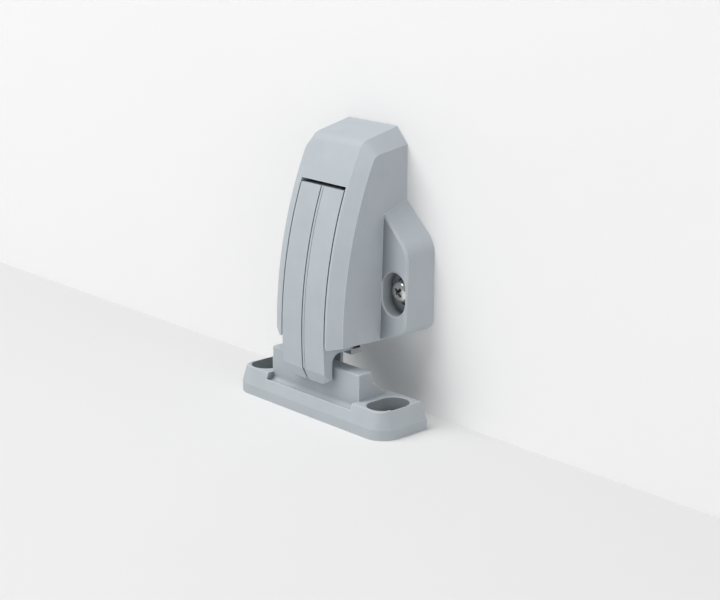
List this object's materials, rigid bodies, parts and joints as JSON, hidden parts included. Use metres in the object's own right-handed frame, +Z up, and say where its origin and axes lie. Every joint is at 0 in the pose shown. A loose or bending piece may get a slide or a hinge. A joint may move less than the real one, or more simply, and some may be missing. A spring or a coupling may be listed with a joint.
{
  "type": "cupboard catch latch",
  "caption": "Moulded cupboard catch latch: wedge-shaped housing with screw ears and a long swinging lever whose leg hangs in front of the raised block of a screwed-down strike plate.",
  "frame": {"origin": "midway between the two wall screws, on the wall plane behind the housing", "axes": "+X to the right seen from the front, +Y into the wall, +Z up from the strike to the housing"},
  "size_m": [0.0686, 0.0413, 0.1002],
  "materials": {
    "grey_plastic": "fine matte moulded",
    "inner_plastic": "matte moulded",
    "zinc": "bright zinc plated",
    "steel": "plain steel"
  },
  "bodies": {
    "fixed": {"housing": "grey_plastic", "lever_pin": "steel", "lever_spring": "steel", "back_cover": "grey_plastic", "ball_cage": "inner_plastic", "steel_ball": "steel", "wall_screws": "zinc", "strike": "grey_plastic", "strike_screws": "zinc"},
    "lever": {"lever": "grey_plastic"}
  },
  "joints": [
    {"name": "lever_swing", "type": "hinge", "parent": "fixed", "child": "lever", "pos_m": [0, -0.01809, 0.0262], "axis": [-1, 0, 0], "range_deg": [0, 18], "stiffness_Nm_per_rad": 0.01, "springref_deg": -28.65, "deforming": ["lever_spring"]}
  ]
}
